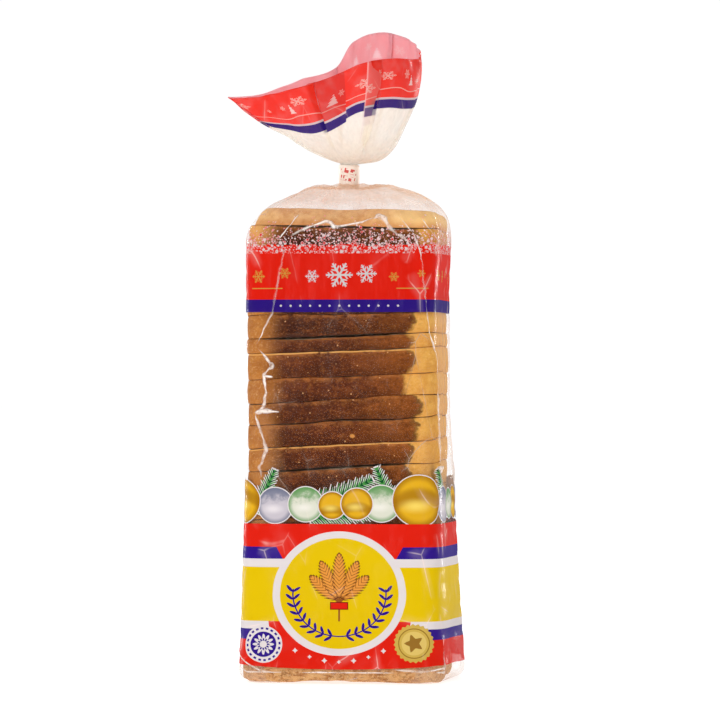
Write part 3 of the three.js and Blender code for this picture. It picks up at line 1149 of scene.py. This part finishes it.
# Angles and places of the points round a slice, with a slightly crowned front
def slice_outline(grow):
    turn = np.linspace(0, 2 * PI, SLICE_POINTS, endpoint=False)
    turn = turn + 0.28 * np.sin(4 * turn) / 4
    radius = outline_radius(turn, LOAF_HALF + grow, LOAF_HALF + grow * 0.6, LOAF_SQUARENESS)
    ring = np.stack([radius * np.cos(turn), radius * np.sin(turn)], -1)
    crown = 1.2 * np.cos(np.clip(ring[:, 0] / LOAF_HALF, -1, 1) * PI / 2) * (ring[:, 1] < -30)
    ring[:, 1] -= crown * 0.5 - 0.3
    return turn, ring


# One ring of a slice, at a level from -1 at its lower cut to 1 at its upper one
def slice_row(index, level, inset, turn, ring, shift):
    highest = index == TOP_SLICE
    low, high = JOINTS[index] + JOINT_GAP / 2, JOINTS[index + 1] - JOINT_GAP / 2
    if highest and level > 0:
        inset = inset + 2.4 * level**3
    flat = ring * (1 - inset / LOAF_HALF)
    if highest:
        flat[:, 0] *= np.where(flat[:, 0] < 0, 0.9 - 0.04 * level, 1)
    joint = index if level < 0 else index + 1
    z = (low + high) / 2 + level * (high - low) / 2 + flat[:, 0] * lean_slope(low if level < 0 else high)
    z = z + abs(level) * joint_wobble(flat, joint)
    wedge = smooth(-flat[:, 1], 10, 45) * (1 - smooth(np.abs(flat[:, 0]), 22, 42))
    z = z - level * wedge * GAPS.get(joint, 0) / 2
    return roughen(np.column_stack([flat + shift, z]), index, level, inset, turn)


# Lumps round the edge of a slice, and uneven faces on its cuts
def roughen(row, index, level, inset, turn):
    lowest, highest = index == 0, index == TOP_SLICE
    lumps = 0.5 * field(row * (1, 1, 0.25), 14, 40) + 0.22 * field(row, 4, 41 + index)
    outward = np.column_stack([np.cos(turn), np.sin(turn)])
    row[:, :2] += outward * (lumps * max(0, 1 - max(inset, 0) / 3))[:, None]
    if abs(level) > 0.9:
        row[:, 2] += 0.16 * field(row * (1, 1, 0.1), 7, 70 + index)
    if highest and level > 0.9:
        row[:, 2] += 0.5 * field(row, 20, 90)
    if lowest and level < 0:
        uneven = 0.6 + 0.8 * field(row, 17, 91) + 0.5 * field(row, 6, 92)
        row[:, 2] += level**2 * np.maximum(uneven, 0)
    meets_next = (level == -1 and not lowest) or (level == 1 and not highest)
    if meets_next:
        row[:, 2] += level * JOINT_GAP / 2 * smooth(inset, 1.5, 5)
    return row


# Rings drawn in towards the middle of a cut face, which go up or down with its lean
def cut_face(row, ring, height):
    slope = lean_slope(height)
    lift = [ring[:, 0] * (size - 0.87) * slope for size in CUT_FACE_SIZES]
    return [row * (size, size, 1) + rise[:, None] * (0, 0, 1) for size, rise in zip(CUT_FACE_SIZES, lift)]


# One slice: a rounded square slab cut from the same loaf, a little out of line with its neighbours
def make_slice(index, outer):
    random = np.random.RandomState(100 + index)
    lowest, highest = index == 0, index == TOP_SLICE
    lit = index + 1 in LIT_JOINTS
    shift = random.uniform(-0.4, 0.4, 2) * (0.3 if lowest or highest else 1)
    if lit:
        shift[1] = -0.6
    turn, ring = slice_outline(random.uniform(-0.3, 0.3) + (2.4 if lowest else 0))
    profile = [(-level, inset) for level, inset in HALF_PROFILE[:0:-1]] + HALF_PROFILE
    rows = [slice_row(index, level, inset, turn, ring, shift) for level, inset in profile]
    bottom = cut_face(rows[0], ring, JOINTS[index] + JOINT_GAP / 2)[::-1]
    top = cut_face(rows[-1], ring, JOINTS[index + 1] - JOINT_GAP / 2)
    grid = np.array(bottom + rows + top)
    points = keep_inside(closed_points(grid), outer)
    made = new_object(f"slice_{index + 1:02d}", points, closed_faces(len(grid), SLICE_POINTS))
    levels = [-1.0] * len(bottom) + [level for level, _ in profile] + [1.0] * len(top)
    add_values(made, "level", np.append(np.repeat(levels, SLICE_POINTS), [-1, 1]))
    for name, value in (("shade", random.rand()), ("heel", lowest or highest), ("lit_edge", lit)):
        add_values(made, name, np.full(len(points), float(value)))
    # The cut faces are crumb, but for the outer ones of the two heels
    crumb = np.zeros(len(grid) - 1, int)
    crumb[:CRUMB_ROWS_BELOW] = not lowest
    crumb[-CRUMB_ROWS_ABOVE:] = not highest
    ends = [int(not lowest), int(not highest)]
    of_faces = np.repeat(crumb, SLICE_POINTS).tolist() + ends * SLICE_POINTS
    made.data.polygons.foreach_set("material_index", of_faces)
    return made


# What the colours of the crust are mixed by: its place, its slice's values, and noises by size
class Grain:
    def __init__(self, sheet):
        self.place, (self.x, self.y, self.z) = sheet.position()
        self.level, self.shade = sheet.value("level"), sheet.value("shade")
        self.heel, self.lit = sheet.value("heel"), sheet.value("lit_edge")
        self.blotch = sheet.noise(self.place, 17, 3, 0.6)
        self.cloud = sheet.noise(self.place, 6.5, 4, 0.6, (0.6, 1.0, 1.4))
        self.mottle = sheet.noise(self.place, 3.4, 4, 0.62)
        self.fine = sheet.noise(self.place, 1.7, 4, 0.65, (0.5, 1.0, 1.3))
        self.grit = sheet.noise(self.place, 0.95, 2.5, 0.65)


# The top of the loaf, at the front: dark brown, paler towards its sides and darker above 171 mm, with
# painted shade on the lowest slices and towards each slice's lower cut, and painted highlights along its
# upper cut
def top_crust(sheet, g):
    return sheet.layers(
        sheet.mix(g.blotch.ramp(0.3, 0.7), (78, 38, 24), (108, 54, 28)),
        ((g.x + g.shade * 16).ramp(4, 44) * 0.8, (160, 88, 32)),
        ((-1 * g.x).ramp(30, 40) * 0.75, (170, 94, 36)),
        (g.z.ramp(169, 173) * 0.4, (52, 27, 18)),
        # Painted shade on the slices below 122 mm
        (g.z.ramp(122, 104) * 0.4, (54, 27, 16)),
        (g.shade * 0.4, (58, 29, 19)),
        (g.cloud.ramp(0.5, 0.74) * 0.4, (150, 82, 42)),
        (g.cloud.ramp(0.5, 0.28) * 0.4, (54, 25, 16)),
        (g.fine.ramp(0.5, 0.76) * 0.36, (172, 98, 46)),
        (g.fine.ramp(0.5, 0.26) * 0.36, (54, 27, 16)),
        (g.mottle.ramp(0.55, 0.8) * 0.3, (196, 124, 62)),
        # Painted shade towards each slice's lower cut
        (g.level.ramp(0.3, -1.0) * 0.45, (50, 26, 18)),
        # Painted highlights along each slice's upper cut
        (g.level.ramp(0.35, 1.0) * g.mottle.ramp(0.35, 0.6) * 0.35, (190, 118, 58)),
        (g.grit.ramp(0.54, 0.7) * 0.5, (176, 100, 50)),
        (g.grit.ramp(0.46, 0.3) * 0.5, (38, 18, 11)),
        # More painted highlight along the upper cut, in patches
        (g.level.ramp(0.55, 0.95) * (g.cloud + g.fine).ramp(0.9, 1.15) * 0.5, (186, 112, 56)),
    )


# The sides of the loaf: golden on the right, browner on the left, with painted shade towards each slice's
# lower cut
def side_crust(sheet, g):
    uneven = g.mottle.ramp(0.1, 0.9)
    left = sheet.mix(uneven, (160, 94, 42), (186, 120, 60))
    left = sheet.mix(g.z.ramp(205, 212) * 0.85, left, (236, 176, 104))
    right = sheet.mix(uneven, (216, 150, 64), (236, 180, 92))
    return sheet.layers(
        sheet.mix(g.x.ramp(-40, 40), left, right),
        (g.fine.ramp(0.5, 0.25) * 0.34, (160, 100, 44)),
        (g.grit.ramp(0.52, 0.68) * 0.3, (250, 210, 140)),
        (g.cloud.ramp(0.46, 0.66) * 0.4, (204, 136, 62)),
        # Painted shade towards each slice's lower cut
        (g.level.ramp(0.0, -1.0) * 0.3, (196, 128, 58)),
    )


# The bottom crust of the loaf, at the back
def bottom_crust(sheet, g):
    return sheet.layers(
        sheet.mix((g.blotch + g.cloud * 0.5).ramp(0.55, 0.95), (176, 112, 58), (128, 74, 36)),
        (g.fine.ramp(0.5, 0.7) * 0.4, (204, 142, 84)),
        (g.grit.ramp(0.46, 0.3) * 0.4, (96, 52, 26)),
    )


# The two heels: tan, and rougher near the base; the top one has painted highlights towards both ends and
# painted shade towards its lower cut
def heel_crust(sheet, g):
    low, high = g.z.ramp(60, 20), g.z.ramp(60, 200)
    return sheet.layers(
        sheet.mix(g.mottle.ramp(0.3, 0.7), (220, 158, 96), (244, 194, 132)),
        # Painted highlights towards both ends of the top heel
        ((g.x + 6).abs().ramp(20, 42) * high * 0.8, (255, 214, 142)),
        (g.blotch.ramp(0.5, 0.75) * 0.35, (190, 124, 66)),
        (low * 0.45, (190, 138, 92)),
        (g.fine.ramp(0.52, 0.34) * 0.75 * low, (134, 82, 44)),
        (g.mottle.ramp(0.5, 0.36) * 0.6 * low, (150, 92, 50)),
        (g.grit.ramp(0.54, 0.68) * 0.6 * low, (232, 196, 150)),
        # Painted shade towards the top heel's lower cut
        (g.level.ramp(0.1, -0.9) * 0.6 * high, (206, 128, 70)),
    )


# How much of the dark top shows, and how much of the painted shadow line along its ragged right edge
def top_area(g):
    wander = (g.mottle - 0.5) * 5 + (g.blotch - 0.5) * 8
    edge_at = 37.6 + (g.shade - 0.5) * 7 - g.level * g.level * 2.8 + wander + (g.fine - 0.5) * 5
    right = (edge_at - g.x).ramp(-1.0, 2.6)
    left = (g.x + 33.5 + wander * 0.8 + g.shade * 2).ramp(-7.5, 8.5)
    front = (-1 * g.y).ramp(30, 38)
    return right * left * front, right * (1 - right) * 4 * front


# Pale spots on the top, and one bare blister among them
def pale_spots(sheet, g):
    fleck, (one, two, _) = sheet.cells(g.place, 3.6)
    dx, dz = g.x - BLISTER_X, g.z - BLISTER_HEIGHT
    blister = (dx * dx + dz * dz * 1.6 + (g.mottle - 0.5) * 3).max(0).power(0.5)
    return (one > 0.45) * (fleck < two * 0.18 + 0.18), 1 - blister.ramp(0.7, 1.5)


# The edges of the cuts: painted highlights at two joints, and painted shade at the others
def cut_edges(g):
    painted_edge_highlight = g.level.ramp(0.84, 0.9) * g.lit * (g.mottle + g.blotch).ramp(0.75, 1.0)
    broken = (g.blotch + g.mottle).ramp(0.85, 1.1, 0.35, 0.9)
    painted_joint_shade = g.level.abs().ramp(0.94, 1.0) * (1 - g.lit) * broken
    return painted_edge_highlight, painted_joint_shade * (1 - g.heel * (1 - g.level.abs().between(0.93, 0.995) * 0.5))


def crust_material():
    sheet = Sheet("bread_crust")
    g = Grain(sheet)
    top, painted_edge_shadow = top_area(g)
    spots, blister = pale_spots(sheet, g)
    painted_edge_highlight, painted_joint_shade = cut_edges(g)
    colour = sheet.layers(
        sheet.mix(top, side_crust(sheet, g), top_crust(sheet, g)),
        # A painted shadow line along the dark top's ragged right edge
        (painted_edge_shadow * g.blotch.ramp(0.35, 0.6, 0.15, 0.7), (64, 33, 16)),
        (g.y.ramp(40, 45) * 0.85, bottom_crust(sheet, g)),
        (spots * top * 0.75, (236, 176, 116)),
        (blister * top * 0.85, (216, 146, 74)),
        (g.heel * 0.95, heel_crust(sheet, g)),
        # Painted highlights on the cut edges at two joints
        (painted_edge_highlight * 0.9, (232, 168, 92)),
        # Painted shade on the cut edges at the other joints
        (painted_joint_shade, (84, 40, 16)),
    )
    normal = sheet.bump(g.blotch, 1.6, 0.35)
    normal = sheet.bump(g.mottle, 0.6, 0.35, normal)
    normal = sheet.bump(g.fine, 0.3, 0.4, normal)
    return sheet.done(sheet.matte(colour, normal, Roughness=0.8, Specular_IOR_Level=0.0))


def crumb_material():
    sheet = Sheet("bread_crumb")
    place, _ = sheet.position()
    pores, _ = sheet.cells(place, 1.6)
    fine = sheet.noise(place, 1.3, 4, 0.65)
    wide = sheet.noise(place, 16, 2, 0.5)
    colour = sheet.layers(
        sheet.mix(fine.ramp(0.3, 0.7), (226, 200, 158), (246, 230, 198)),
        # Painted shade in the pores
        (pores.ramp(0.15, 0.6, 0.45, 0.0), (196, 160, 112)),
        (wide.ramp(0.45, 0.75) * 0.2, (216, 184, 136)),
    )
    normal = sheet.bump(pores, 0.5, 0.7)
    normal = sheet.bump(fine, 0.3, 0.5, normal)
    return sheet.done(sheet.matte(colour, normal, Roughness=0.85, Specular_IOR_Level=0.15))


# One face of the tape seen from above: in along one half of the tab, round the neck and out again
def tape_line(radius, side, tab_radius):
    start = math.asin(TAPE_HALF_GAP / (TAPE_INNER + TAPE_THICKNESS))
    bends = np.linspace(start, 2 * PI - start, 72)
    tab = np.linspace(TAPE_TAB_LENGTH, 0.4, 12)
    first = np.column_stack([tab_radius + tab - 0.2, np.full(len(tab), side)])
    ring = np.column_stack([radius * np.cos(bends), radius * np.sin(bends)])
    return np.concatenate([first, ring, first[::-1] * (1, -1)])


# The tape round the neck: one turn, with its ends pressed together in a tab at the back
def make_tape():
    outer = TAPE_INNER + TAPE_THICKNESS
    outer_line = tape_line(outer, TAPE_HALF_GAP, outer)
    inner_line = tape_line(TAPE_INNER, TAPE_HALF_GAP * 0.12, outer)
    count = len(outer_line)
    line = np.concatenate([outer_line, inner_line[::-1]])
    place = np.concatenate([np.arange(count), np.arange(count)[::-1]])
    c, s = math.cos(TAPE_TAB_ANGLE), math.sin(TAPE_TAB_ANGLE)
    x = line[:, 0] * c - line[:, 1] * s
    y = line[:, 0] * s + line[:, 1] * c
    rings = []
    for share in np.linspace(0, 1, 9):
        z = TAPE_BOTTOM + 0.1 + share * (TAPE_HEIGHT - 0.2) + 0.12 * np.sin(place * 0.35)
        dent = 1 + 0.16 * field(np.column_stack([x, y, z]), 3.2, 51) / np.hypot(x, y)
        rings.append(np.column_stack([x * dent, y * dent, z]))
    faces = grid_faces(len(rings), 2 * count)
    top = (len(rings) - 1) * 2 * count
    for near in range(count - 1):
        far = 2 * count - 1 - near
        faces.append((far, far - 1, near + 1, near))
        faces.append((top + near, top + near + 1, top + far - 1, top + far))
    return new_object("neck_tape_wrap", np.concatenate(rings), faces)


# Paper with two slanting rows of small red marks, which say nothing
def tape_material():
    sheet = Sheet("neck_tape_paper")
    place, (x, y, z) = sheet.position()
    fibre = sheet.noise(place, 1.1, 3, 0.6)
    wide = sheet.noise(place, 5, 2, 0.5)
    across, up = turned(y.angle_to(x) * 5.2, z, -8.2, 251.2, -14)
    row_height, mark_size = 3.7, 0.75
    row = (up / row_height).floor()
    column, small = (across / mark_size).floor(), (up / mark_size).floor()
    pick = ((column * 12.99 + small * 78.23).sin() * 437.5).wrap(0, 1)
    gap = (column / 4).wrap(0, 1) > 0.2
    inside_row = (up - row * row_height).between(0.55, 3.1) * (row + 0.5).abs().between(0, 1.2)
    marks = inside_row * (pick > 0.4) * gap * (across.abs() < 4.2)
    colour = sheet.mix(wide, (246, 226, 208), (255, 246, 238))
    colour = sheet.mix(marks * (y < 0), colour, (206, 58, 50))
    return sheet.done(sheet.matte(colour, sheet.bump(fibre, 0.15, 0.5), Roughness=0.5))


def floor_material():
    sheet = Sheet("floor_white")
    place, _ = sheet.position()
    colour = sheet.mix(sheet.noise(place, 400, 1, 0.5), (195.7, 195.7, 195.7), (198.8, 198.8, 198.8))
    finish = {"Roughness": 0.9, "Specular_IOR_Level": 0.0, "Emission_Color": (255, 255, 255)}
    return sheet.done(sheet.matte(colour, Emission_Strength=0.78, **finish))


def make_floor():
    size, level = 12000, -0.05
    corners = [(-size, -size, level), (size, -size, level), (size, size, level), (-size, size, level)]
    made = new_object("floor", corners, [(0, 1, 2, 3)])
    made.data.materials.append(floor_material())


# Name, place and size in metres, power, and whether the light shows only as a highlight
LIGHTS = [
    ("key", (-0.8, -1.6, 1.1), (0.9, 0.9), 11, False),
    ("top", (0.1, 0.5, 1.5), (0.9, 0.7), 7, False),
    ("strip_front_left", (-0.5, -1.9, 0.45), (0.3, 1.4), 9, True),
    ("strip_front_right", (1.0, -1.7, 0.45), (0.3, 1.4), 9, True),
    ("strip_back_left", (-1.3, 1.5, 0.5), (0.12, 1.4), 22, True),
    ("strip_back_right", (1.2, 1.6, 0.5), (0.12, 1.4), 22, True),
]


def make_light(name, place, size, power, highlight_only):
    aim = Vector((0, 0, 0.16))
    lamp = bpy.data.lights.new(name, "AREA")
    lamp.shape = "RECTANGLE"
    lamp.size, lamp.size_y = size
    lamp.energy = power
    made = bpy.data.objects.new(name, lamp)
    bpy.context.scene.collection.objects.link(made)
    made.location = place
    made.rotation_euler = (aim - Vector(place)).to_track_quat("-Z", "Y").to_euler()
    made.visible_camera = False
    made.visible_diffuse = not highlight_only


def make_camera():
    back = Vector((math.sin(VIEW_TURN), -math.cos(VIEW_TURN), 0))
    right = Vector((math.cos(VIEW_TURN), math.sin(VIEW_TURN), 0))
    target = right * (VIEW_ACROSS * MM) + Vector((0, 0, VIEW_HEIGHT * MM))
    data = bpy.data.cameras.new("camera")
    data.lens, data.sensor_width = FOCAL_LENGTH, SENSOR_WIDTH
    data.clip_start, data.clip_end = 0.05, 20
    made = bpy.data.objects.new("camera", data)
    bpy.context.scene.collection.objects.link(made)
    made.location = target + back * (VIEW_DISTANCE * MM)
    made.rotation_euler = (-back).to_track_quat("-Z", "Y").to_euler()
    bpy.context.scene.camera = made


# White all round, and darker overhead, so that the film shows against it
def make_world():
    world = bpy.data.worlds.new("studio")
    bpy.context.scene.world = world
    world.use_nodes = True
    tree = world.node_tree
    background = tree.nodes["Background"]
    place = tree.nodes.new("ShaderNodeTexCoord")
    apart = tree.nodes.new("ShaderNodeSeparateXYZ")
    tree.links.new(place.outputs["Generated"], apart.inputs[0])
    fall = tree.nodes.new("ShaderNodeMapRange")
    fall.interpolation_type = "SMOOTHSTEP"
    for name, value in (("From Min", 0.1), ("From Max", 0.45), ("To Min", 1.02), ("To Max", 0.4)):
        fall.inputs[name].default_value = value
    tree.links.new(apart.outputs[2], fall.inputs["Value"])
    background.inputs["Color"].default_value = (1, 1, 1, 1)
    tree.links.new(fall.outputs[0], background.inputs["Strength"])


make_world()
make_camera()
make_floor()

film, outer_rows, base_count = make_film()
for material in (lower_panel(), clear_film(), upper_band(), tail_film(), ornament_row()):
    film.data.materials.append(material)
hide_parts("bag")
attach(film, "root")

fold_lines = make_fold_lines(outer_rows, base_count)
fold_lines.data.materials.append(fold_material())
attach(fold_lines, "root")

crust, crumb = crust_material(), crumb_material()
for number in range(len(JOINTS) - 1):
    piece = make_slice(number, outer_rows)
    piece.data.materials.append(crust)
    piece.data.materials.append(crumb)
    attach(piece, "root")

tape = make_tape()
tape.data.materials.append(tape_material())
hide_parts("neck_tape")
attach(tape, "root")

for light in LIGHTS:
    make_light(*light)

scene = bpy.context.scene
scene.view_settings.view_transform = "Standard"
scene.cycles.transparent_max_bounces = 32
